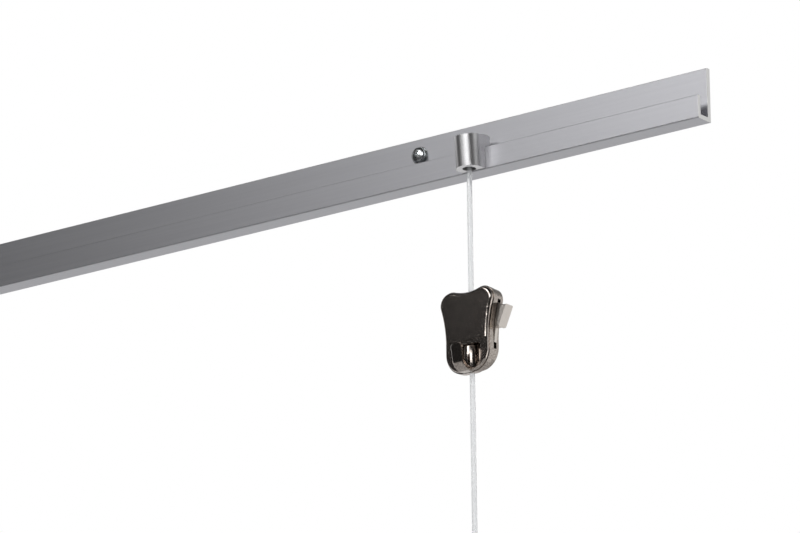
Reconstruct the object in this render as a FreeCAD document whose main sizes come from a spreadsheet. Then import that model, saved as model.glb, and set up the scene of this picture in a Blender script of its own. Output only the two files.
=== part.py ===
"""Picture rail moulding with its wall screws, a sliding cord hanger, a clear cord and a
self-gripping picture hook.

Millimetres. X runs along the rail, the wall is at +Y and the front faces -Y, Z is up.
The origin is the centre of the rail's flat back face, which lies on the wall.
"""

import FreeCAD, Part
import math
import os
import Sketcher
from FreeCAD import Base

Vec = Base.Vector

# Driving sizes, each written once.
SIZES = {
    # Rail: one extrusion with a back wall, a flange at its foot and an upturned lip.
    "rail_length": 1000.0,
    "rail_height": 21.0,
    "rail_depth": 8.2,
    "back_wall": 1.9,
    "lip_wall": 1.5,
    "flange_wall": 1.6,
    "lip_height": 9.0,
    "edge_round": 0.25,
    "foot_edge_round": 0.45,
    # Wall screws: pan heads on the back wall above the lip.
    "screw_inset": 133.0,
    "screw_drop": 6.95,
    "shank_radius": 1.95,
    "neck_radius": 1.6,
    "neck_spare": 0.3,
    "hole_radius": 2.2,
    "head_radius": 3.1,
    "head_rim": 1.8,
    "head_height": 2.95,
    "collar_radius": 3.65,
    "collar_wall": 0.55,
    "screw_length": 30.0,
    "screw_point": 4.0,
    # Rail hanger: a D-shaped block in front of the lip, an arm over it and a leg behind it.
    "hanger_inset": 102.9,
    "hanger_radius": 5.25,
    "hanger_front_top": 17.35,
    "hanger_front_foot": 16.15,
    "hanger_height": 13.5,
    "hanger_rise": 0.4,
    "hanger_top_slope": 6.0,
    "running_gap": 0.12,
    "arm_clearance": 0.15,
    "leg_front": 6.5,
    "leg_wall": 1.4,
    "leg_clearance": 0.35,
    "cavity_radius": 2.6,
    "cavity_depth": 6.0,
    "arm_round": 0.9,
    # Clear cord.
    "cord_radius": 1.0,
    "cord_forward": 11.4,
    "cord_drop": 149.5,
    "coil_ring_radius": 12.0,
    "coil_bundle_radius": 5.0,
    "tie_wall": 0.9,
    "tie_angle": 15.0,
    # Picture hook: outline seen from the front.
    "hook_drop": 47.9,
    "hook_height": 32.8,
    "hook_thickness": 7.9,
    "lobe_radius": 5.1,
    "lobe_reach": 12.45,
    "dip_depth": 1.2,
    "waist_reach": 10.1,
    "waist_drop": 21.0,
    "foot_radius": 8.0,
    "rear_plate": 3.95,
    "rear_inset": 0.15,
    "rear_foot_lift": 1.5,
    "rear_edge": 0.5,
    "front_plate": 1.5,
    "front_inset": 0.3,
    "front_round": 1.25,
    "cord_bore": 1.3,
    # Picture hook: stepped lower front, dished recess, cord barrel and upturned strap.
    "step_drop": 20.3,
    "step_depth": 0.25,
    "dish_half_width": 6.5,
    "dish_top": 21.9,
    "dish_foot": 31.6,
    "dish_depth": 3.9,
    "dish_top_round": 1.5,
    "dish_foot_round": 4.4,
    "barrel_radius": 3.3,
    "barrel_dome": 3.0,
    "strap_forward": 9.6,
    "strap_wall": 2.0,
    "strap_bend": 4.6,
    "strap_tip": 23.0,
    "strap_lean": 12,
    "strap_half_width": 2.35,
    "strap_corner": 1.3,
    "strap_edge": 0.3,
    # Grip chamber, slot in the right flank, and the toothed wedge with its thumb tab.
    "slot_width": 1.9,
    "slot_top": 5.4,
    "slot_foot": 24.3,
    "slot_back": 1.05,
    "slot_root": 7.2,
    "chamber_width": 3.2,
    "chamber_reach": 8.4,
    "chamber_foot": 21.1,
    "tab_gap": 0.2,
    "wedge_reach": 7.9,
    "wedge_top": 6.3,
    "wedge_foot": 17.8,
    "tooth_pitch": 1.2,
    "tooth_depth": 0.35,
    "strip_top": 6.9,
    "strip_foot": 21.9,
    "strip_top_reach": 12.3,
    "strip_foot_reach": 10.15,
    "strip_root": 7.5,
    "tab_top": 8.5,
    "tab_foot": 16.5,
    "tab_top_reach": 17.0,
    "tab_foot_reach": 13.4,
    "tab_width": 4.7,
    "tab_top_wall": 2.3,
    "tab_foot_wall": 0.7,
    "tab_corner": 0.5,
}

doc = FreeCAD.newDocument("PictureRail")
sheet = doc.addObject("Spreadsheet::Sheet", "Sizes")
for row, (name, value) in enumerate(SIZES.items(), start=1):
    sheet.set(f"A{row}", name)
    sheet.set(f"B{row}", str(value))
    sheet.setAlias(f"B{row}", name)
doc.recompute()


class Size:
    """A length together with the spreadsheet formula that gives it."""

    def __init__(self, value, formula):
        self.value = float(value)
        self.formula = formula

    def __add__(self, other):
        other = as_size(other)
        return Size(self.value + other.value, f"({self.formula} + {other.formula})")

    def __sub__(self, other):
        other = as_size(other)
        return Size(self.value - other.value, f"({self.formula} - {other.formula})")

    def __mul__(self, factor):
        return Size(self.value * factor, f"({self.formula} * {factor})")

    def __truediv__(self, factor):
        return Size(self.value / factor, f"({self.formula} / {factor})")

    def __neg__(self):
        return Size(-self.value, f"(0 - {self.formula})")

    def __float__(self):
        return self.value


def as_size(number):
    return number if isinstance(number, Size) else Size(number, repr(float(number)))


class Named:
    """Every cell of the sheet as a Size, read by its name."""

    def __getattr__(self, name):
        return Size(SIZES[name], f"Sizes.{name}")


s = Named()


def bind(thing, prop, size):
    thing.setExpression(prop, as_size(size).formula)


def place(thing, x, y, z):
    """Put an object where three sizes say."""
    thing.Placement = FreeCAD.Placement(Vec(float(x), float(y), float(z)), FreeCAD.Rotation())
    for axis, size in zip("xyz", (x, y, z)):
        bind(thing, f".Placement.Base.{axis}", as_size(size))


def plane(body, role):
    for feature in body.Origin.OriginFeatures:
        if feature.Role == role:
            return feature
    raise ValueError(role)


def new_body(name):
    body = doc.addObject("PartDesign::Body", name)
    body.Label = name
    return body


def new_sketch(body, name, role, offset=None):
    sketch = body.newObject("Sketcher::SketchObject", name)
    sketch.AttachmentSupport = (plane(body, role), [""])
    sketch.MapMode = "FlatFace"
    if offset is not None:
        sketch.AttachmentOffset = FreeCAD.Placement(Vec(0, 0, float(offset)), FreeCAD.Rotation())
        bind(sketch, ".AttachmentOffset.Base.z", offset)
    return sketch


def locate(sketch, index, corner, x, y):
    """Tie one end of a sketch line to its two sizes."""
    for kind, size in (("DistanceX", as_size(x)), ("DistanceY", as_size(y))):
        number = sketch.addConstraint(Sketcher.Constraint(kind, -1, 1, index, corner, size.value))
        sketch.setExpression(f"Constraints[{number}]", size.formula)


def polygon(sketch, points):
    """A closed outline of straight lines through points that are sizes."""
    spots = [Vec(float(x), float(y), 0) for x, y in points]
    first = sketch.GeometryCount
    for i, spot in enumerate(spots):
        following = spots[(i + 1) % len(spots)]
        sketch.addGeometry(Part.LineSegment(spot, following), False)
    for i, (x, y) in enumerate(points):
        previous = first + (i - 1) % len(points)
        sketch.addConstraint(Sketcher.Constraint("Coincident", previous, 2, first + i, 1))
        locate(sketch, first + i, 1, x, y)


def circle(sketch, x, y, radius):
    centre = Vec(float(x), float(y), 0)
    index = sketch.addGeometry(Part.Circle(centre, Vec(0, 0, 1), float(radius)), False)
    number = sketch.addConstraint(Sketcher.Constraint("Radius", index, float(radius)))
    sketch.setExpression(f"Constraints[{number}]", as_size(radius).formula)
    locate(sketch, index, 3, x, y)


def pad(body, name, sketch, length, both_ways=True):
    feature = body.newObject("PartDesign::Pad", name)
    feature.Profile = sketch
    feature.Midplane = both_ways
    feature.Length = float(length)
    bind(feature, "Length", length)
    sketch.Visibility = False
    return feature


def pocket(body, name, sketch, length=None, both_ways=True, turned=False):
    """Cut a sketch out of the body and make sure that material went."""
    doc.recompute()
    before = body.Shape.Volume
    feature = body.newObject("PartDesign::Pocket", name)
    feature.Profile = sketch
    if length is None:
        feature.Type = "ThroughAll"
    else:
        feature.Length = float(length)
        bind(feature, "Length", length)
    feature.Midplane = both_ways
    feature.Reversed = turned
    doc.recompute()
    if not body.Shape.Volume < before:
        raise ValueError(f"{name} cut nothing")
    return feature


def edges_where(shape, wanted):
    """Names of the edges whose every sampled point passes a test."""
    found = []
    for number, edge in enumerate(shape.Edges, start=1):
        if all(wanted(point) for point in edge.discretize(7)):
            found.append(f"Edge{number}")
    return found


def dress(body, kind, name, setting, size, wanted):
    """A fillet or a chamfer on the edges that a test picks."""
    doc.recompute()
    base = body.Tip
    names = edges_where(base.Shape, wanted)
    if not names:
        raise ValueError(f"{name} found no edge")
    feature = body.newObject(kind, name)
    feature.Base = (base, names)
    setattr(feature, setting, float(size))
    bind(feature, setting, size)
    doc.recompute()
    return feature


def fillet(body, name, radius, wanted):
    return dress(body, "PartDesign::Fillet", name, "Radius", radius, wanted)


def chamfer(body, name, size, wanted):
    return dress(body, "PartDesign::Chamfer", name, "Size", size, wanted)


# Places that several pieces share.
rail_top = s.rail_height / 2
rail_foot = -rail_top
lip_top = rail_foot + s.lip_height
floor_top = rail_foot + s.flange_wall
screw_up = rail_top - s.screw_drop
screw_out = s.rail_length / 2 - s.screw_inset
hanger_across = s.rail_length / 2 - s.hanger_inset
hanger_foot = rail_foot + s.hanger_rise
hook_top = rail_foot - s.hook_drop
cord_foot = rail_foot - s.cord_drop

# Rail
rail = new_body("rail")
section = new_sketch(rail, "RailSection", "YZ_Plane")
polygon(
    section,
    [
        (as_size(0), rail_foot),
        (as_size(0), rail_top),
        (-s.back_wall, rail_top),
        (-s.back_wall, floor_top),
        (s.lip_wall - s.rail_depth, floor_top),
        (s.lip_wall - s.rail_depth, lip_top),
        (-s.rail_depth, lip_top),
        (-s.rail_depth, rail_foot),
    ],
)
pad(rail, "RailPad", section, s.rail_length)
rail_corners = [
    (-s.back_wall, rail_top),
    (s.lip_wall - s.rail_depth, lip_top),
    (-s.rail_depth, lip_top),
]


def at_corner(corners):
    """A test for points on edges that run along X through given corners."""
    spots = [(float(y), float(z)) for y, z in corners]
    return lambda point: any(
        abs(point.y - y) < 0.001 and abs(point.z - z) < 0.001 for y, z in spots
    )


fillet(rail, "RailEdges", s.edge_round, at_corner(rail_corners))
fillet(rail, "RailFootEdge", s.foot_edge_round, at_corner([(-s.rail_depth, rail_foot)]))
holes = new_sketch(rail, "ScrewHoles", "XZ_Plane")
for across in (-screw_out, as_size(0), screw_out):
    circle(holes, across, screw_up, s.hole_radius)
pocket(rail, "ScrewHolePocket", holes)


# Wall screws
def wall_screw(name, across):
    """A pan-head screw, its head on the back wall and its shank through the wall."""
    body = new_body(name)
    half = new_sketch(body, name + "_half", "XY_Plane")
    crown = -(s.back_wall + s.head_height)
    rim = -(s.back_wall + s.head_rim)
    collar = -(s.back_wall + s.collar_wall)
    seat = -s.back_wall
    point = s.screw_length - s.back_wall
    corners = [
        (as_size(0), crown),
        (s.head_radius * 0.6, crown + (s.head_height - s.head_rim) * 0.25),
        (s.head_radius, rim),
        (s.head_radius * 0.88, collar),
        (s.collar_radius, collar),
        (s.collar_radius, seat),
        (s.neck_radius, seat),
        (s.neck_radius, s.neck_spare),
        (s.shank_radius, s.neck_spare),
        (s.shank_radius, point - s.screw_point),
        (as_size(0), point),
    ]
    polygon(half, corners)
    turn = body.newObject("PartDesign::Revolution", name + "_turn")
    turn.Profile = half
    turn.ReferenceAxis = (half, ["V_Axis"])
    turn.Angle = 360.0
    place(body, across, as_size(0), screw_up)
    return body


screws = [
    wall_screw("wall_screw_left", -screw_out),
    wall_screw("wall_screw_middle", as_size(0)),
    wall_screw("wall_screw_right", screw_out),
]

# Rail hanger
hanger = new_body("rail_hanger")
hanger_back = -(s.rail_depth + s.running_gap)
arm_under = lip_top + s.arm_clearance
crown_up = hanger_foot + s.hanger_height


def d_section(name, up, front):
    """The hanger's plan: straight flanks and a round front."""
    sketch = new_sketch(hanger, name, "XY_Plane", up)
    radius = float(s.hanger_radius)
    back = float(hanger_back)
    middle = -(front - s.hanger_radius)
    left = Vec(-radius, float(middle), 0)
    right = Vec(radius, float(middle), 0)
    nose = Vec(0, float(middle) - radius, 0)
    sketch.addGeometry(Part.LineSegment(Vec(-radius, back, 0), left), False)
    sketch.addGeometry(Part.Arc(left, nose, right), False)
    sketch.addGeometry(Part.LineSegment(right, Vec(radius, back, 0)), False)
    sketch.addGeometry(Part.LineSegment(Vec(radius, back, 0), Vec(-radius, back, 0)), False)
    return sketch


foot_plan = d_section("HangerFoot", hanger_foot, s.hanger_front_foot)
top_plan = d_section("HangerTop", crown_up, s.hanger_front_top)
block = hanger.newObject("PartDesign::AdditiveLoft", "HangerBlock")
block.Profile = foot_plan
block.Sections = [top_plan]
block.Ruled = True
doc.recompute()
arm = new_sketch(hanger, "HangerArm", "YZ_Plane")
leg_back = -(s.leg_front - s.leg_wall)
polygon(
    arm,
    [
        (hanger_back - 1.0, arm_under),
        (-s.leg_front, arm_under),
        (-s.leg_front, floor_top + s.leg_clearance),
        (leg_back, floor_top + s.leg_clearance),
        (leg_back, crown_up),
        (hanger_back - 1.0, crown_up),
    ],
)
pad(hanger, "HangerArmPad", arm, s.hanger_radius * 2)
slope = new_sketch(hanger, "HangerSlope", "YZ_Plane")
fall = (s.hanger_front_top - (s.leg_front - s.leg_wall)) * math.tan(math.radians(SIZES["hanger_top_slope"]))
polygon(
    slope,
    [
        (-(s.hanger_front_top + 1.0), crown_up + 1.0),
        (-(s.hanger_front_top + 1.0), crown_up - fall),
        (-s.hanger_front_top, crown_up - fall),
        (-(s.leg_front + 1.0), crown_up),
        (-(s.leg_front + 1.0), crown_up + 1.0),
    ],
)
pocket(hanger, "HangerSlopeCut", slope)
cavity = new_sketch(hanger, "HangerCavity", "XY_Plane", hanger_foot)
circle(cavity, as_size(0), -s.cord_forward, s.cavity_radius)
pocket(hanger, "HangerCavityCut", cavity, s.cavity_depth, both_ways=False, turned=True)
fillet(hanger, "ArmEnd", s.arm_round, at_corner([(leg_back, crown_up)]))
place(hanger, hanger_across, as_size(0), as_size(0))

# Clear cord, straight from the hanger's cavity down to its coil
cord_top = hanger_foot + s.cavity_depth
coil_middle = cord_foot - s.coil_ring_radius - s.coil_bundle_radius


def ring_section(sketch, reach):
    """The eight-sided section of the coil's bundle, a given distance from its middle."""
    corners = []
    for step in range(8):
        angle = math.radians(22.5 + 45 * step)
        corners.append((s.coil_ring_radius + reach * math.cos(angle), reach * math.sin(angle)))
    polygon(sketch, corners)


def swept_ring(body, name, sketch, angle):
    ring = body.newObject("PartDesign::Revolution", name)
    ring.Profile = sketch
    ring.ReferenceAxis = (sketch, ["V_Axis"])
    ring.Angle = float(angle)
    bind(ring, "Angle", angle)
    ring.Midplane = True


coil = new_body("cord_coil")
bundle = new_sketch(coil, "CoilSection", "XY_Plane")
ring_section(bundle, s.coil_bundle_radius)
swept_ring(coil, "CoilRing", bundle, as_size(360))
place(coil, hanger_across, -s.cord_forward, coil_middle)
strand = doc.addObject("Part::Cylinder", "CordStrand")
bind(strand, "Radius", s.cord_radius)
bind(strand, "Height", cord_top - cord_foot + s.coil_bundle_radius)
place(strand, hanger_across, -s.cord_forward, cord_foot - s.coil_bundle_radius)
cord = doc.addObject("Part::Cut", "hanging_cord")
cord.Label = "hanging_cord"
cord.Base = strand
cord.Tool = coil

# Tie round the coil, beside the place where the cord runs in
tie = new_body("cord_tie")
band = new_sketch(tie, "TieSection", "XY_Plane")
ring_section(band, s.coil_bundle_radius + s.tie_wall)
ring_section(band, s.coil_bundle_radius)
swept_ring(tie, "TieRing", band, s.tie_angle)
place(tie, hanger_across, -s.cord_forward, coil_middle)
tie.Placement = FreeCAD.Placement(tie.Placement.Base, FreeCAD.Rotation(Vec(0, 1, 0), -125))

# Picture hook: its outline is two lobes, a hollow waist and a round foot
lobe = float(s.lobe_radius)
lobe_x = float(s.lobe_reach) - lobe
lobe_z = -lobe
dip = float(s.dip_depth)
# The dip's arc meets both lobes: its radius follows from its depth.
dip_r = (lobe_x**2 + (lobe - dip) ** 2 - lobe**2) / (2 * dip)
dip_z = dip_r - dip
# The waist's arc meets the lobe: its radius follows from the waist's reach.
waist = float(s.waist_reach)
waist_z = -float(s.waist_drop)
inward = waist - lobe_x
rise = lobe_z - waist_z
waist_r = (inward**2 + rise**2 - lobe**2) / (2 * (lobe - inward))
waist_x = waist + waist_r
foot_r = float(s.foot_radius)
foot_x = waist - foot_r
foot_z = foot_r - float(s.hook_height)


def on_circle(x, z, radius, toward_x, toward_z):
    """The point of a circle that lies toward another point."""
    span = math.hypot(toward_x - x, toward_z - z)
    return Vec(x + (toward_x - x) * radius / span, z + (toward_z - z) * radius / span, 0)


def mirrored(point):
    return Vec(-point.x, point.y, 0)


def chain(sketch, pieces):
    """Lines through two points and arcs through three, end to end."""
    for points in pieces:
        if len(points) == 2:
            sketch.addGeometry(Part.LineSegment(*points), False)
        else:
            sketch.addGeometry(Part.Arc(*points), False)


def hook_outline(sketch, inset, foot_lift=0):
    """The hook's outline, drawn in by an inset, with its foot lifted where asked."""
    inset = float(inset)
    low_z = foot_z + float(foot_lift)
    dip_end = on_circle(lobe_x, lobe_z, lobe - inset, 0, dip_z)
    lobe_mid = on_circle(lobe_x, lobe_z, lobe - inset, lobe_x + 1.0, lobe_z + 0.6)
    lobe_end = on_circle(lobe_x, lobe_z, lobe - inset, waist_x, waist_z)
    waist_end = Vec(waist - inset, waist_z, 0)
    chord = (lobe_end + waist_end) / 2
    waist_mid = on_circle(waist_x, waist_z, waist_r + inset, chord.x, chord.y)
    foot_start = Vec(waist - inset, low_z, 0)
    foot_mid = on_circle(foot_x, low_z, foot_r - inset, foot_x + 1.0, low_z - 1.0)
    foot_end = Vec(foot_x, low_z - foot_r + inset, 0)
    dip_mid = Vec(0, -dip - inset, 0)
    right = [
        (dip_end, lobe_mid, lobe_end),
        (lobe_end, waist_mid, waist_end),
        (waist_end, foot_start),
        (foot_start, foot_mid, foot_end),
    ]
    left = [tuple(mirrored(point) for point in reversed(points)) for points in reversed(right)]
    across = [(foot_end, mirrored(foot_end))]
    chain(sketch, right + across + left + [(mirrored(dip_end), dip_mid, dip_end)])


half_thick = s.hook_thickness / 2
hook_front = -half_thick
middle_wall = s.hook_thickness - s.rear_plate - s.front_plate
seam_back = half_thick - s.rear_plate
seam_front = s.front_plate - half_thick
shell = new_body("HookShell")
middle = new_sketch(shell, "HookMiddle", "XZ_Plane", -seam_back)
hook_outline(middle, 0)
pad(shell, "HookMiddlePad", middle, middle_wall, both_ways=False)
rear = new_sketch(shell, "HookRear", "XZ_Plane", -half_thick)
hook_outline(rear, s.rear_inset, s.rear_foot_lift)
pad(shell, "HookRearPad", rear, s.rear_plate, both_ways=False)
chamfer(shell, "HookRearEdge", s.rear_edge, lambda p: abs(p.y - float(half_thick)) < 0.001)
face = new_sketch(shell, "HookFace", "XZ_Plane", -seam_front)
hook_outline(face, s.front_inset)
pad(shell, "HookFacePad", face, s.front_plate, both_ways=False)
fillet(shell, "HookFrontRound", s.front_round, lambda p: abs(p.y - float(hook_front)) < 0.001)
step = new_sketch(shell, "HookStep", "YZ_Plane")
stepped = hook_front + s.step_depth
polygon(
    step,
    [
        (hook_front - 1.0, -s.step_drop),
        (stepped, -s.step_drop),
        (stepped, -(s.hook_height + 1.0)),
        (hook_front - 1.0, -(s.hook_height + 1.0)),
    ],
)
pocket(shell, "HookStepCut", step)

# The dish behind the strap
dish = new_sketch(shell, "HookDish", "XZ_Plane", half_thick)
wide = float(s.dish_half_width)
high = -float(s.dish_top)
deep = -float(s.dish_foot)
small = float(s.dish_top_round)
large = float(s.dish_foot_round)
bend = 1 - math.sqrt(0.5)
dish_side = [
    (Vec(wide - small, high, 0), Vec(wide - small * bend, high - small * bend, 0), Vec(wide, high - small, 0)),
    (Vec(wide, high - small, 0), Vec(wide, deep + large, 0)),
    (Vec(wide, deep + large, 0), Vec(wide - large * bend, deep + large * bend, 0), Vec(wide - large, deep, 0)),
]
closing = [(Vec(wide - large, deep, 0), Vec(large - wide, deep, 0))]
opening = [(Vec(small - wide, high, 0), Vec(wide - small, high, 0))]
dish_left = [tuple(mirrored(p) for p in reversed(points)) for points in reversed(dish_side)]
chain(dish, dish_side + closing + dish_left + opening)
pocket(shell, "HookDishCut", dish, s.dish_depth, both_ways=False, turned=False)

# The barrel round the cord stands in the dish, domed at its top
barrel = new_sketch(shell, "HookBarrel", "YZ_Plane")
stout = float(s.barrel_radius)
dome = float(s.barrel_dome)
shoulder = Vec(-stout, high - dome, 0)
summit = Vec(-stout * 0.3, high, 0)
swell = Vec(-(stout * 0.3 + stout * 0.7 * math.sqrt(0.5)), high - dome * bend, 0)
chain(
    barrel,
    [
        (Vec(0, high, 0), summit),
        (summit, swell, shoulder),
        (shoulder, Vec(-stout, deep, 0)),
        (Vec(-stout, deep, 0), Vec(0, deep, 0)),
        (Vec(0, deep, 0), Vec(0, high, 0)),
    ],
)
swell_turn = shell.newObject("PartDesign::Revolution", "HookBarrelTurn")
swell_turn.Profile = barrel
swell_turn.ReferenceAxis = (barrel, ["V_Axis"])
swell_turn.Angle = 180.0
swell_turn.Midplane = True
place(shell, hanger_across, -s.cord_forward, hook_top)

# The strap: a J seen from the side, with a rounded tip
strap = new_body("HookStrap")
strap_side = new_sketch(strap, "StrapSide", "YZ_Plane")
low = -float(s.hook_height) + 0.1
tip = -float(s.strap_tip)
thick = float(s.strap_wall)
bend_r = float(s.strap_bend)
bend_y = bend_r - float(s.strap_forward)
bend_z = low + bend_r
root = float(hook_front) + 2.8
lean = math.radians(float(s.strap_lean))
outward = Vec(-math.cos(lean), -math.sin(lean), 0)
upward = Vec(-math.sin(lean), math.cos(lean), 0)
centre = Vec(bend_y, bend_z, 0)
outer_start = centre + outward * bend_r
inner_start = centre + outward * (bend_r - thick)
outer_tip = outer_start + upward * ((tip - outer_start.y) / upward.y)
inner_tip = outer_tip - outward * thick
slant = Vec(-math.sin(math.pi / 4 + lean / 2), -math.cos(math.pi / 4 + lean / 2), 0)
chain(
    strap_side,
    [
        (Vec(root, low, 0), Vec(bend_y, low, 0)),
        (Vec(bend_y, low, 0), centre + slant * bend_r, outer_start),
        (outer_start, outer_tip),
        (outer_tip, inner_tip),
        (inner_tip, inner_start),
        (inner_start, centre + slant * (bend_r - thick), Vec(bend_y, low + thick, 0)),
        (Vec(bend_y, low + thick, 0), Vec(root, low + thick, 0)),
        (Vec(root, low + thick, 0), Vec(root, low, 0)),
    ],
)
pad(strap, "StrapPad", strap_side, s.strap_half_width * 2)
half = float(s.strap_half_width)


def at_tip_corner(point):
    """True on the two short edges at the strap's tip."""
    across = (point.y - outer_tip.x) * outward.y - (point.z - outer_tip.y) * outward.x
    return abs(abs(point.x) - half) < 0.001 and abs(across) < 0.001


fillet(strap, "StrapTipCorners", s.strap_corner, at_tip_corner)


def is_strap_rim(edge):
    """True for the rims of the strap's broad faces, which stop at its root."""
    ends = [vertex.Point for vertex in edge.Vertexes]
    reach = ends[-1] - ends[0]
    along = reach.normalize() if reach.Length > 0.001 else reach
    if abs(along.x) > 0.99 and abs(ends[0].x - ends[-1].x) > 2 * half - 0.01:
        return False
    if abs(along.y * outward.x + along.z * outward.y) > 0.99:
        return False
    return all(point.y < root - 0.001 for point in edge.discretize(7))


rims = [f"Edge{number}" for number, edge in enumerate(strap.Shape.Edges, start=1) if is_strap_rim(edge)]
strap_blank = strap.Tip
rim_edge = strap.newObject("PartDesign::Chamfer", "StrapRims")
rim_edge.Base = (strap_blank, rims)
rim_edge.Size = float(s.strap_edge)
bind(rim_edge, "Size", s.strap_edge)
doc.recompute()
place(strap, hanger_across, -s.cord_forward, hook_top)
solid_hook = doc.addObject("Part::Fuse", "HookSolid")
solid_hook.Base = shell
solid_hook.Tool = strap

# The cord's bore, the grip's chamber and the slot in the right flank
hollow = new_body("HookHollow")
bore = new_sketch(hollow, "CordBore", "XY_Plane")
circle(bore, as_size(0), as_size(0), s.cord_bore)
pad(hollow, "CordBorePad", bore, (s.hook_height + 2.0) * 2)
chamber = new_sketch(hollow, "GripChamber", "XZ_Plane")
polygon(
    chamber,
    [
        (as_size(0), -s.slot_top),
        (s.chamber_reach, -s.slot_top),
        (s.chamber_reach, -s.chamber_foot),
        (as_size(0), -s.chamber_foot),
    ],
)
pad(hollow, "GripChamberPad", chamber, s.chamber_width)
slot = new_sketch(hollow, "GripSlot", "XZ_Plane", -s.slot_back)
polygon(
    slot,
    [
        (s.slot_root, -s.slot_top),
        (s.lobe_reach + 1.0, -s.slot_top),
        (s.lobe_reach + 1.0, -s.slot_foot),
        (s.slot_root, -s.slot_foot),
    ],
)
pad(hollow, "GripSlotPad", slot, s.slot_width)
place(hollow, hanger_across, -s.cord_forward, hook_top)
hook = doc.addObject("Part::Cut", "hook_body")
hook.Label = "hook_body"
hook.Base = solid_hook
hook.Tool = hollow

# Release tab: a toothed wedge beside the cord, a strip in the slot and a slanting thumb plate
tab = new_body("release_tab")
wedge = new_sketch(tab, "Wedge", "XZ_Plane")
polygon(
    wedge,
    [
        (s.cord_bore, -s.wedge_top),
        (s.wedge_reach, -s.wedge_top),
        (s.wedge_reach, -s.wedge_foot),
        (s.cord_bore, -s.wedge_foot),
    ],
)
pad(tab, "WedgePad", wedge, s.chamber_width - s.tab_gap * 2)
tooth = new_sketch(tab, "ToothGap", "XZ_Plane")
polygon(
    tooth,
    [
        (s.cord_bore - 0.1, -(s.wedge_top + s.tooth_pitch * 0.4)),
        (s.cord_bore + s.tooth_depth, -(s.wedge_top + s.tooth_pitch * 0.5)),
        (s.cord_bore - 0.1, -(s.wedge_top + s.tooth_pitch)),
    ],
)
gap = pocket(tab, "ToothGapCut", tooth)
teeth = tab.newObject("PartDesign::LinearPattern", "Teeth")
teeth.Originals = [gap]
teeth.Direction = (tooth, ["V_Axis"])
teeth.Reversed = True
tooth_count = int((SIZES["wedge_foot"] - SIZES["wedge_top"]) / SIZES["tooth_pitch"]) - 1
teeth.Length = SIZES["tooth_pitch"] * (tooth_count - 1)
teeth.Occurrences = tooth_count
tab.Tip = teeth
doc.recompute()
strip = new_sketch(tab, "TabStrip", "XZ_Plane", -s.slot_back)
polygon(
    strip,
    [
        (s.strip_root, -s.strip_top),
        (s.strip_top_reach, -s.strip_top),
        (s.tab_top_reach - s.tab_top_wall / 2, -s.tab_top),
        (s.tab_foot_reach - s.tab_foot_wall / 2, -s.tab_foot),
        (s.strip_foot_reach + 0.8, -s.tab_foot),
        (s.strip_foot_reach, -s.strip_foot),
        (s.strip_root, -s.strip_foot),
    ],
)
pad(tab, "TabStripPad", strip, s.slot_width - s.tab_gap * 2)
plate = new_sketch(tab, "ThumbPlate", "XZ_Plane", -s.slot_back)
polygon(
    plate,
    [
        (s.tab_top_reach - s.tab_top_wall, -s.tab_top),
        (s.tab_top_reach, -s.tab_top),
        (s.tab_foot_reach, -s.tab_foot),
        (s.tab_foot_reach - s.tab_foot_wall, -s.tab_foot),
    ],
)
pad(tab, "ThumbPlatePad", plate, s.tab_width)


def at_plate_corner(point):
    """True on the four short edges at the thumb plate's corners."""
    on_side = abs(abs(point.y - float(s.slot_back)) - float(s.tab_width) / 2) < 0.001
    at_end = min(abs(point.z + float(s.tab_top)), abs(point.z + float(s.tab_foot))) < 0.001
    return on_side and at_end


fillet(tab, "ThumbPlateCorners", s.tab_corner, at_plate_corner)
place(tab, hanger_across, -s.cord_forward, hook_top)

doc.recompute()
for thing in doc.Objects:
    if "Invalid" in thing.State or "Error" in thing.State:
        raise ValueError(f"{thing.Name} failed: {thing.State}")

pieces = [rail, *screws, hanger, cord, coil, tie, hook, tab]
os.makedirs("parts", exist_ok=True)
for piece in pieces:
    shape = piece.Shape
    if shape.isNull() or not shape.isValid():
        raise ValueError(f"{piece.Label} has no valid shape")
    if len(shape.Solids) != 1:
        raise ValueError(f"{piece.Label} has {len(shape.Solids)} solids")
    shape.exportStep(f"parts/{piece.Label}.step")
    print(piece.Label, round(shape.Volume, 1), "mm3")
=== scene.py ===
import math

import bmesh
import bpy
from mathutils import Matrix, Vector


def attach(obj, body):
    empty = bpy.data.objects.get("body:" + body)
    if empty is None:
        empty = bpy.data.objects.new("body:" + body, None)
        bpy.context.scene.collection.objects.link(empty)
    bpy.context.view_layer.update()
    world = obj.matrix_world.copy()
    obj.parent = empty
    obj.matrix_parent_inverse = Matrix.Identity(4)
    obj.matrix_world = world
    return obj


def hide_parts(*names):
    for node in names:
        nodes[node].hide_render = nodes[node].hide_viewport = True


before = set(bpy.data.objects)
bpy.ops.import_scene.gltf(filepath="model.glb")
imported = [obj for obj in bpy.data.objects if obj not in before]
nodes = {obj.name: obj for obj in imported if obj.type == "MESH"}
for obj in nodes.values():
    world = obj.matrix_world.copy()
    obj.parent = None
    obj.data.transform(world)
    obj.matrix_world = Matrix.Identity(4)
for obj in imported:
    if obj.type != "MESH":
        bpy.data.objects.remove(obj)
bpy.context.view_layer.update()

MM = 0.001

# Places and sizes from the part's source, in metres
HANGER_ACROSS = 0.3971
CORD_FORWARD = -0.0114
CORD_TOP = -0.0041
CORD_FOOT = -0.160
CORD_DIAMETER = 2.0 * MM
COIL_MIDDLE = -0.177
COIL_RING = 0.012
SCREW_ACROSS = 0.367
SCREW_UP = 0.00355


# Small tools for node trees and meshes

def add(tree, kind, values=None, **settings):
    """A new node: its settings first, then the constants on its own sockets."""
    node = tree.nodes.new(kind)
    for key, value in settings.items():
        setattr(node, key, value)
    for socket, value in (values or {}).items():
        node.inputs[socket].default_value = value
    return node


def wire(tree, *pairs):
    """Links each output to the socket beside it."""
    for output, socket in pairs:
        tree.links.new(output, socket)


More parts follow.
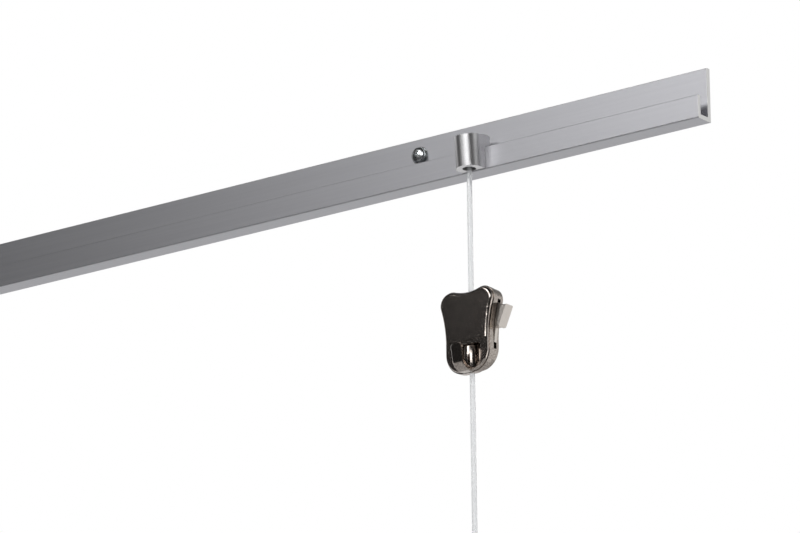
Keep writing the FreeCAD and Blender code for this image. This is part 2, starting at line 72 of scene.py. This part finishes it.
def mapped(tree, source, low, high, start=0.0, end=1.0):
    """A value that runs from low to high while the source runs from start to end."""
    span = add(
        tree, "ShaderNodeMapRange", {"From Min": start, "From Max": end, "To Min": low, "To Max": high}
    )
    tree.links.new(source, span.inputs["Value"])
    return span.outputs["Result"]


def in_scene(name, data):
    """A new object at the origin, linked to the scene."""
    piece = bpy.data.objects.new(name, data)
    bpy.context.scene.collection.objects.link(piece)
    return piece


def outward_mesh(name, shape):
    """A mesh from a finished bmesh, with its faces pointing outwards."""
    bmesh.ops.recalc_face_normals(shape, faces=shape.faces)
    mesh = bpy.data.meshes.new(name)
    shape.to_mesh(mesh)
    shape.free()
    return mesh


def shade_smooth(mesh, sharpest):
    """Smooth shading, with sharp edges where faces meet at more than this many degrees."""
    mesh.polygons.foreach_set("use_smooth", [True] * len(mesh.polygons))
    mesh.set_sharp_from_angle(angle=math.radians(sharpest))


def join_outlines(shape, near, far):
    """A closed band of faces between two outlines of equally many points."""
    for k in range(len(near)):
        m = (k + 1) % len(near)
        shape.faces.new((near[k], near[m], far[m], far[k]))


# Materials

def new_material(name):
    material = bpy.data.materials.new(name)
    material.use_nodes = True
    tree = material.node_tree
    shader = tree.nodes["Principled BSDF"]
    return material, tree, shader


def object_grain(tree, scale):
    """Noise on Object coordinates, its fineness along each axis set by a Mapping node."""
    place = add(tree, "ShaderNodeTexCoord")
    stretch = add(tree, "ShaderNodeMapping", {"Scale": scale})
    noise = add(tree, "ShaderNodeTexNoise", {"Scale": 1.0, "Detail": 4.0})
    wire(
        tree,
        (place.outputs["Object"], stretch.inputs["Vector"]),
        (stretch.outputs["Vector"], noise.inputs["Vector"]),
    )
    return noise.outputs["Fac"]


def tint(tree, source, dark, light):
    """A colour between two others, over the middle of the noise, where most of it lies."""
    ramp = add(tree, "ShaderNodeValToRGB")
    first, last = ramp.color_ramp.elements
    first.position, last.position = 0.35, 0.65
    first.color, last.color = (*dark, 1), (*light, 1)
    tree.links.new(source, ramp.inputs["Fac"])
    return ramp.outputs["Color"]


def relief(tree, source, shader, strength):
    """Fine bumps on the surface, up to a fiftieth of a millimetre deep."""
    bump = add(tree, "ShaderNodeBump", {"Strength": strength, "Distance": 0.02 * MM})
    wire(
        tree,
        (source, bump.inputs["Height"]),
        (bump.outputs["Normal"], shader.inputs["Normal"]),
    )


def metal(name, dark, light, rough, grain, bump):
    """A metal whose colour, roughness and relief all follow one grain."""
    material, tree, shader = new_material(name)
    shader.inputs["Metallic"].default_value = 1.0
    noise = object_grain(tree, grain)
    wire(
        tree,
        (tint(tree, noise, dark, light), shader.inputs["Base Color"]),
        (mapped(tree, noise, *rough), shader.inputs["Roughness"]),
    )
    relief(tree, noise, shader, bump)
    return material


def saw_cut_ends(material, rail):
    """The rail's sawn ends are bare, brighter metal."""
    bare = (0.80, 0.80, 0.79, 1)
    skin = 0.15 * MM
    rail_end = max(corner[0] for corner in rail.bound_box)
    tree = material.node_tree
    shader = tree.nodes["Principled BSDF"]
    coat = shader.inputs["Base Color"].links[0].from_socket
    place = add(tree, "ShaderNodeTexCoord")
    apart = add(tree, "ShaderNodeSeparateXYZ")
    from_middle = add(tree, "ShaderNodeMath", operation="ABSOLUTE")
    at_end = add(tree, "ShaderNodeMath", {1: rail_end - skin}, operation="GREATER_THAN")
    # On a colour Mix node, sockets 0, 6 and 7 are the factor and the two colours, and 2 is the result.
    swap = add(tree, "ShaderNodeMix", {7: bare}, data_type="RGBA")
    wire(
        tree,
        (place.outputs["Object"], apart.inputs["Vector"]),
        (apart.outputs["X"], from_middle.inputs[0]),
        (from_middle.outputs["Value"], at_end.inputs[0]),
        (at_end.outputs["Value"], swap.inputs[0]),
        (coat, swap.inputs[6]),
        (swap.outputs[2], shader.inputs["Base Color"]),
    )


def clear_nylon():
    material, tree, shader = new_material("clear_nylon")
    shader.inputs["Base Color"].default_value = (0.93, 0.94, 0.95, 1)
    shader.inputs["Transmission Weight"].default_value = 0.75
    shader.inputs["IOR"].default_value = 1.53
    cloud = object_grain(tree, (300, 300, 20))
    tree.links.new(mapped(tree, cloud, low=0.2, high=0.24), shader.inputs["Roughness"])
    return material


def tie_plastic():
    material, tree, shader = new_material("tie_plastic")
    cloud = object_grain(tree, (700, 700, 700))
    mottle = tint(tree, cloud, dark=(0.7, 0.7, 0.7), light=(0.8, 0.8, 0.8))
    tree.links.new(mottle, shader.inputs["Base Color"])
    shader.inputs["Roughness"].default_value = 0.45
    return material


# The rail's grain runs along it, from the extrusion; the castings and the plating are evenly fine.
anodised = metal(
    "anodised_aluminium",
    dark=(0.61, 0.61, 0.64),
    light=(0.635, 0.635, 0.665),
    rough=(0.44, 0.49),
    grain=(8, 900, 900),
    bump=0.08,
)
zinc = metal(
    "zinc_plated_steel",
    dark=(0.70, 0.73, 0.74),
    light=(0.84, 0.86, 0.86),
    rough=(0.2, 0.32),
    grain=(400, 400, 400),
    bump=0.2,
)
satin_nickel = metal(
    "satin_nickel",
    dark=(0.68, 0.68, 0.69),
    light=(0.78, 0.77, 0.78),
    rough=(0.3, 0.4),
    grain=(2600, 2600, 2600),
    bump=0.35,
)
pale_nickel = metal(
    "satin_nickel_pale",
    dark=(0.66, 0.62, 0.57),
    light=(0.74, 0.69, 0.64),
    rough=(0.30, 0.38),
    grain=(2600, 2600, 2600),
    bump=0.3,
)
black_nickel = metal(
    "black_nickel",
    dark=(0.30, 0.265, 0.24),
    light=(0.56, 0.505, 0.46),
    rough=(0.12, 0.21),
    grain=(2000, 2000, 2000),
    bump=0.6,
)
saw_cut_ends(anodised, nodes["rail"])
nylon = clear_nylon()
pale_plastic = tie_plastic()

for name, finish in (
    ("rail", anodised),
    ("rail_hanger", satin_nickel),
    ("hook_body", black_nickel),
    ("release_tab", pale_nickel),
):
    for slot in nodes[name].material_slots:
        slot.material = finish


# Wall screws: a turned body with a cross recess, and a thread that winds round its core

CORE_RADIUS = 1.45 * MM
THREAD_PITCH = 1.5 * MM


def screw_profile():
    """Radius and place along the axis, in mm, from the crown of the head to the point."""
    crown, rim, collar, seat, foot = -4.85, -3.7, -2.45, -1.9, 28.1
    head, flange, shank, core, tip = 3.1, 3.65, 1.6, CORE_RADIUS / MM, 0.75
    dome_steps = 7
    line = [(0.0, crown)]
    for step in range(1, dome_steps + 1):
        angle = math.radians(90 * step / dome_steps)
        line.append((head * math.sin(angle), crown + (rim - crown) * (1 - math.cos(angle))))
    line += [(head - 0.04, rim + 0.4), (head - 0.2, rim + 0.8), (head - 0.37, collar)]
    line += [(flange - 0.1, collar), (flange, collar + 0.1), (flange, seat - 0.08), (flange - 0.07, seat)]
    line += [(shank, seat), (shank, 0.3), (core, 0.6), (core, foot - 4.2), (tip, foot - 1.6), (0.0, foot)]
    return line


def turned(line):
    """A closed solid, turned from a profile in mm round the Y axis."""
    steps = 48
    shape = bmesh.new()
    rings = []
    for radius, along in line:
        around = steps if radius else 1
        ring = []
        for step in range(around):
            angle = 2 * math.pi * step / steps
            ring.append(
                shape.verts.new((radius * MM * math.cos(angle), along * MM, radius * MM * math.sin(angle)))
            )
        rings.append(ring)
    for near, far in zip(rings, rings[1:]):
        for step in range(steps):
            following = (step + 1) % steps
            if len(near) == 1:
                shape.faces.new((near[0], far[step], far[following]))
            elif len(far) == 1:
                shape.faces.new((near[following], near[step], far[0]))
            else:
                shape.faces.new((near[step], far[step], far[following], near[following]))
    return outward_mesh("screw_body", shape)


def cross_punch():
    """The tapered cross that is taken out of a screw head."""
    # Place along the axis, reach of an arm and half its width, in mm, above the crown and at the bottom
    levels_in_mm = ((-5.7, 2.15, 0.36), (-3.35, 0.8, 0.24))
    # The four arms and the square between them, by the numbers of their corners
    cap = ((0, 1, 2, 11), (2, 3, 4, 5), (5, 6, 7, 8), (8, 9, 10, 11), (2, 5, 8, 11))
    shape = bmesh.new()
    levels = []
    for along, arm, wide in levels_in_mm:
        corners = [
            (wide, arm), (-wide, arm), (-wide, wide), (-arm, wide), (-arm, -wide), (-wide, -wide),
            (-wide, -arm), (wide, -arm), (wide, -wide), (arm, -wide), (arm, wide), (wide, wide),
        ]
        levels.append([shape.verts.new((x * MM, along * MM, z * MM)) for x, z in corners])
    for level in levels:
        for face in cap:
            shape.faces.new([level[corner] for corner in face])
    join_outlines(shape, *levels)
    return in_scene("cross_punch", outward_mesh("cross_punch", shape))


def screw_thread_tree():
    """Adds a helical thread, with a tapered last stretch on the point, to a screw body."""
    thread_start, point_start = 1.0 * MM, 24.0 * MM
    tree = bpy.data.node_groups.new("screw_thread", "GeometryNodeTree")
    face = tree.interface
    face.new_socket(name="Body", in_out="INPUT", socket_type="NodeSocketGeometry")
    for label, value in (
        ("Pitch", THREAD_PITCH),
        ("Thread Length", 23.0 * MM),
        ("Core Radius", CORE_RADIUS),
        ("Thread Height", 0.5 * MM),
        ("Point Length", 3.4 * MM),
    ):
        socket = face.new_socket(name=label, in_out="INPUT", socket_type="NodeSocketFloat")
        socket.default_value = value
    face.new_socket(name="Screw", in_out="OUTPUT", socket_type="NodeSocketGeometry")
    given = add(tree, "NodeGroupInput").outputs
    result = add(tree, "NodeGroupOutput")
    join = add(tree, "GeometryNodeJoinGeometry")
    ridge = add(tree, "GeometryNodeCurvePrimitiveCircle", {"Resolution": 4})
    tree.links.new(given["Thread Height"], ridge.inputs["Radius"])

    def winding(length, end_share, start):
        """A stretch of thread whose end radius is this share of the core's."""
        turns = add(tree, "ShaderNodeMath", operation="DIVIDE")
        end = add(tree, "ShaderNodeMath", {1: end_share}, operation="MULTIPLY")
        spiral = add(tree, "GeometryNodeCurveSpiral", {"Resolution": 20})
        upright = add(tree, "GeometryNodeSetCurveNormal", mode="Z_UP")
        sweep = add(tree, "GeometryNodeCurveToMesh", {"Fill Caps": True})
        lay = add(
            tree,
            "GeometryNodeTransform",
            {"Rotation": (math.radians(-90), 0, 0), "Translation": (0, start, 0)},
        )
        wire(
            tree,
            (length, turns.inputs[0]),
            (given["Pitch"], turns.inputs[1]),
            (given["Core Radius"], end.inputs[0]),
            (turns.outputs["Value"], spiral.inputs["Rotations"]),
            (given["Core Radius"], spiral.inputs["Start Radius"]),
            (end.outputs["Value"], spiral.inputs["End Radius"]),
            (length, spiral.inputs["Height"]),
            (spiral.outputs["Curve"], upright.inputs["Curve"]),
            (upright.outputs["Curve"], sweep.inputs["Curve"]),
            (ridge.outputs["Curve"], sweep.inputs["Profile Curve"]),
            (sweep.outputs["Mesh"], lay.inputs["Geometry"]),
            (lay.outputs["Geometry"], join.inputs["Geometry"]),
        )

    winding(given["Thread Length"], end_share=1.0, start=thread_start)
    winding(given["Point Length"], end_share=0.25, start=point_start)
    real = add(tree, "GeometryNodeRealizeInstances")
    coat = add(tree, "GeometryNodeSetMaterial", {"Material": zinc})
    wire(
        tree,
        (given["Body"], join.inputs["Geometry"]),
        (join.outputs["Geometry"], real.inputs["Geometry"]),
        (real.outputs["Geometry"], coat.inputs["Geometry"]),
        (coat.outputs["Geometry"], result.inputs["Screw"]),
    )
    return tree


def made_plain(piece):
    """The evaluated piece as a plain mesh."""
    bpy.context.view_layer.update()
    settled = piece.evaluated_get(bpy.context.evaluated_depsgraph_get())
    return bpy.data.meshes.new_from_object(settled)


def threaded_screw(thread):
    """The mesh of one screw on the Y axis, with its recess cut and its thread wound."""
    punch = cross_punch()
    blank = in_scene("screw_blank", turned(screw_profile()))
    cut = blank.modifiers.new("recess", "BOOLEAN")
    cut.operation = "DIFFERENCE"
    cut.object = punch
    cut.solver = "EXACT"
    wind = blank.modifiers.new("thread", "NODES")
    wind.node_group = thread
    for socket in thread.interface.items_tree:
        if socket.in_out == "INPUT" and socket.name == "Pitch":
            wind[socket.identifier] = THREAD_PITCH
    mesh = made_plain(blank)
    bpy.data.objects.remove(blank)
    bpy.data.objects.remove(punch)
    return mesh


one_screw = threaded_screw(screw_thread_tree())
for name, across, twist in (
    ("wall_screw_left", -SCREW_ACROSS, 50),
    ("wall_screw_middle", 0.0, 75),
    ("wall_screw_right", SCREW_ACROSS, 28),
):
    mesh = one_screw.copy()
    mesh.transform(
        Matrix.Translation((across, 0.0, SCREW_UP)) @ Matrix.Rotation(math.radians(twist), 4, "Y")
    )
    shade_smooth(mesh, sharpest=38)
    screw = in_scene(name + "_threaded", mesh)
    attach(screw, "rail_and_screws")
    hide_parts(name)


# Hook: a soft-edged shell over the whole height of the barrel in the dish, up into the plate

def barrel_shoulder():
    """Half a tube over the barrel, from just above the dish's foot into the plate at its head."""
    # From the part's source, in mm: the heights of the dish's two ends, and the barrel's radius
    dish_foot, dish_head, barrel_radius = -90.0, -80.3, 3.3
    bore, skin = 1.32, barrel_radius + 0.04
    foot, head = dish_foot + 0.4, dish_head + 0.05
    steps = 40
    wall = [
        (bore, foot), (skin - 0.1, foot), (skin, foot + 0.5), (skin, head - 0.7),
        (skin - 0.2, head - 0.2), (skin - 0.6, head), (bore, head),
    ]
    shape = bmesh.new()
    rings = []
    for step in range(steps + 1):
        angle = math.pi * step / steps
        rings.append([
            shape.verts.new((
                HANGER_ACROSS + radius * MM * math.cos(angle),
                CORD_FORWARD - radius * MM * math.sin(angle),
                height * MM,
            ))
            for radius, height in wall
        ])
    for near, far in zip(rings, rings[1:]):
        join_outlines(shape, near, far)
    shape.faces.new(rings[0])
    shape.faces.new(rings[-1])
    mesh = outward_mesh("barrel_shoulder", shape)
    shade_smooth(mesh, sharpest=50)
    mesh.materials.append(black_nickel)
    return in_scene("barrel_shoulder", mesh)


shoulder = barrel_shoulder()
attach(shoulder, "hook")


# Clear cord: straight down from the hanger, then put away in a neat coil held by a tie

# The spline cuts inside the points of a turn, so they lie this much further out than the turn.
COIL_EASE = 1.012


def bundle_seats():
    """Seats for the turns in the bundle's section: twelve outside, six inside, one in the middle."""
    seats = []
    for step in range(12):
        angle = math.radians(60 + 30 * step)
        reach = 2 * CORD_DIAMETER
        if step % 2 == 1:
            reach *= math.cos(math.radians(30))
        seats.append((reach * math.cos(angle), reach * math.sin(angle)))
    for step in range(6):
        angle = math.radians(30 + 60 * step)
        seats.append((CORD_DIAMETER * math.cos(angle), CORD_DIAMETER * math.sin(angle)))
    seats.append((0.0, 0.0))
    return seats


def cord_points():
    """The drop, then the coil: each turn keeps its seat and moves to the next near its end."""
    last_straight = 0.012
    points_per_turn, turns = 16, 18.1
    first_angle = math.radians(60)
    moves_from = 0.7
    points = [
        (HANGER_ACROSS, CORD_FORWARD, height)
        for height in (CORD_TOP, CORD_FOOT + last_straight, CORD_FOOT)
    ]
    seats = bundle_seats()
    last = len(seats) - 1
    for step in range(int(points_per_turn * turns)):
        turn, share = divmod(step / points_per_turn, 1.0)
        here = seats[min(int(turn), last)]
        following = seats[min(int(turn) + 1, last)]
        moved = max(0.0, (share - moves_from) / (1 - moves_from))
        out = here[0] + (following[0] - here[0]) * moved
        aside = here[1] + (following[1] - here[1]) * moved
        angle = first_angle - 2 * math.pi * step / points_per_turn
        radius = (COIL_RING + out) * COIL_EASE
        points.append((
            HANGER_ACROSS + radius * math.cos(angle),
            CORD_FORWARD + aside,
            COIL_MIDDLE + radius * math.sin(angle),
        ))
    return points


def cord_curve(name, points):
    """A round cord along one open spline."""
    data = bpy.data.curves.new(name, "CURVE")
    data.dimensions = "3D"
    spline = data.splines.new("NURBS")
    spline.points.add(len(points) - 1)
    for point, place in zip(spline.points, points):
        point.co = (*place, 1.0)
    spline.order_u = 3
    spline.use_endpoint_u = True
    spline.resolution_u = 4
    data.bevel_depth = CORD_DIAMETER / 2
    data.bevel_resolution = 3
    data.use_fill_caps = True
    data.materials.append(nylon)
    return in_scene(name, data)


def tie_band(cad_tie):
    """A soft-edged band round the coil's bundle, where the tie sits."""
    corners = [cad_tie.matrix_world @ Vector(corner) for corner in cad_tie.bound_box]
    middle = sum(corners, Vector()) / len(corners)
    turn = math.atan2(middle.z - COIL_MIDDLE, middle.x - HANGER_ACROSS)
    outward = Vector((math.cos(turn), 0, math.sin(turn)))
    forward = Vector((0, 1, 0))
    along = Vector((-math.sin(turn), 0, math.cos(turn)))
    bundle = Vector((HANGER_ACROSS, CORD_FORWARD, COIL_MIDDLE)) + outward * COIL_RING * COIL_EASE
    # Radius and place along the bundle, in mm, of one edge; the other edge mirrors it.
    inner, outer, half = 5.3, 6.2, 1.9
    edge = [(inner, half), (inner + 0.3, half + 0.12), (outer - 0.3, half), (outer, half - 0.35)]
    outline = [(radius, -place) for radius, place in edge] + edge[::-1]
    steps = 40
    shape = bmesh.new()
    rings = []
    for step in range(steps):
        angle = 2 * math.pi * step / steps
        spoke = outward * math.cos(angle) + forward * math.sin(angle)
        rings.append([
            shape.verts.new(bundle + spoke * radius * MM + along * place * MM) for radius, place in outline
        ])
    for near, far in zip(rings, rings[1:] + rings[:1]):
        join_outlines(shape, near, far)
    mesh = outward_mesh("tie_band", shape)
    shade_smooth(mesh, sharpest=50)
    mesh.materials.append(pale_plastic)
    return in_scene("tie_band", mesh)


tie = tie_band(nodes["cord_tie"])
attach(tie, "hanger_and_cord")
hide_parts("cord_tie")

cord = cord_curve("clear_cord", cord_points())
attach(cord, "hanger_and_cord")
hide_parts("hanging_cord", "cord_coil")


# Stage

def floor_white():
    """Matt and pale for the lamps, and close to white for the camera and for mirror-like metal."""
    material, tree, shader = new_material("floor")
    shader.inputs["Base Color"].default_value = (0.86, 0.86, 0.86, 1)
    shader.inputs["Roughness"].default_value = 0.9
    ray = add(tree, "ShaderNodeLightPath").outputs
    glow = add(tree, "ShaderNodeEmission")
    # The glow's strength is 0.95 for the camera and 0.5 for other rays.
    level = add(tree, "ShaderNodeMath", {1: 0.45, 2: 0.5}, operation="MULTIPLY_ADD")
    # The glow takes a share of 0.8 for the camera, which keeps the shadow, and all for mirrors.
    share = add(tree, "ShaderNodeMath", {1: 0.8}, operation="MULTIPLY_ADD")
    either = add(tree, "ShaderNodeMixShader")
    wire(
        tree,
        (ray["Is Camera Ray"], level.inputs[0]),
        (level.outputs["Value"], glow.inputs["Strength"]),
        (ray["Is Camera Ray"], share.inputs[0]),
        (ray["Is Glossy Ray"], share.inputs[2]),
        (share.outputs["Value"], either.inputs["Fac"]),
        (shader.outputs["BSDF"], either.inputs[1]),
        (glow.outputs["Emission"], either.inputs[2]),
        (either.outputs["Shader"], tree.nodes["Material Output"].inputs["Surface"]),
    )
    return material


def pale_floor():
    reach = 2.0
    height = -1.35
    mesh = bpy.data.meshes.new("floor")
    corners = [(-reach, -reach), (reach, -reach), (reach, reach), (-reach, reach)]
    mesh.from_pydata([(x, y, height) for x, y in corners], [], [(0, 1, 2, 3)])
    mesh.materials.append(floor_white())
    return in_scene("floor", mesh)


floor = pale_floor()


# Light

def studio_room():
    """White for the camera and through the cord, a soft level on the object, and a room for metal."""
    world = bpy.data.worlds.new("studio")
    world.use_nodes = True
    tree = world.node_tree
    tree.nodes.clear()
    result = add(tree, "ShaderNodeOutputWorld")
    backdrop = add(tree, "ShaderNodeBackground", {"Color": (1, 1, 1, 1), "Strength": 1.0})
    soft = add(tree, "ShaderNodeBackground", {"Color": (0.96, 0.97, 1.0, 1), "Strength": 0.25})
    mirrored = add(tree, "ShaderNodeBackground", {"Color": (1, 1, 1, 1)})
    # Metal sees a bright backdrop behind the object, and a dim room before it and overhead.
    look = add(tree, "ShaderNodeTexCoord")
    apart = add(tree, "ShaderNodeSeparateXYZ")
    tree.links.new(look.outputs["Generated"], apart.inputs["Vector"])
    behind = mapped(tree, apart.outputs["Y"], low=0.025, high=0.8, start=-0.35, end=0.15)
    below = mapped(tree, apart.outputs["Z"], low=1.0, high=0.1, start=0.38, end=0.7)
    both = add(tree, "ShaderNodeMath", operation="MULTIPLY")
    ray = add(tree, "ShaderNodeLightPath").outputs
    for_metal = add(tree, "ShaderNodeMixShader")
    seen_directly = add(tree, "ShaderNodeMath", operation="MAXIMUM")
    either = add(tree, "ShaderNodeMixShader")
    wire(
        tree,
        (behind, both.inputs[0]),
        (below, both.inputs[1]),
        (both.outputs["Value"], mirrored.inputs["Strength"]),
        (ray["Is Glossy Ray"], for_metal.inputs["Fac"]),
        (soft.outputs["Background"], for_metal.inputs[1]),
        (mirrored.outputs["Background"], for_metal.inputs[2]),
        (ray["Is Camera Ray"], seen_directly.inputs[0]),
        (ray["Is Transmission Ray"], seen_directly.inputs[1]),
        (seen_directly.outputs["Value"], either.inputs["Fac"]),
        (for_metal.outputs["Shader"], either.inputs[1]),
        (backdrop.outputs["Background"], either.inputs[2]),
        (either.outputs["Shader"], result.inputs["Surface"]),
    )
    return world


def softbox(name, place, width, height, power, colour):
    """A soft lamp, turned towards the hanger and the hook."""
    lit_place = Vector((0.42, 0.0, -0.03))
    lamp = bpy.data.lights.new(name, "AREA")
    lamp.shape = "RECTANGLE"
    lamp.size = width
    lamp.size_y = height
    lamp.energy = power
    lamp.color = colour
    holder = in_scene(name, lamp)
    holder.location = place
    holder.rotation_euler = (lit_place - Vector(place)).to_track_quat("-Z", "Y").to_euler()


bpy.context.scene.world = studio_room()
# Name, place, width, height, watts and colour
for lamp_facts in (
    ("key", (0.08, -0.97, 0.52), 0.5, 0.4, 2.6, (1, 1, 1)),
    ("front", (0.72, -1.12, 0.36), 0.8, 0.35, 3.2, (1, 1, 1)),
    ("side", (1.5, 0.1, -0.4), 0.6, 0.6, 1.2, (1.0, 0.97, 0.95)),
):
    softbox(*lamp_facts)


# Camera: a long lens, from below and to the right of the hook

AZIMUTH = math.radians(37.19)
ELEVATION = math.radians(-16.87)
ROLL = math.radians(-0.63)
AIM = Vector((0.3587, -0.0050, -0.0400))
DISTANCE = 1.939


def long_lens_camera():
    lens = bpy.data.cameras.new("camera")
    lens.sensor_width = 36.0
    lens.lens = 227.5
    lens.clip_end = 30.0
    back = Vector((
        math.sin(AZIMUTH) * math.cos(ELEVATION),
        -math.cos(AZIMUTH) * math.cos(ELEVATION),
        math.sin(ELEVATION),
    ))
    level = Vector((math.cos(AZIMUTH), math.sin(AZIMUTH), 0.0))
    upright = back.cross(level)
    right = level * math.cos(ROLL) + upright * math.sin(ROLL)
    up = upright * math.cos(ROLL) - level * math.sin(ROLL)
    turn = Matrix((right, up, back)).transposed().to_4x4()
    camera = in_scene("camera", lens)
    camera.matrix_world = Matrix.Translation(AIM + back * DISTANCE) @ turn
    return camera


bpy.context.scene.camera = long_lens_camera()
bpy.context.scene.view_settings.view_transform = "Standard"
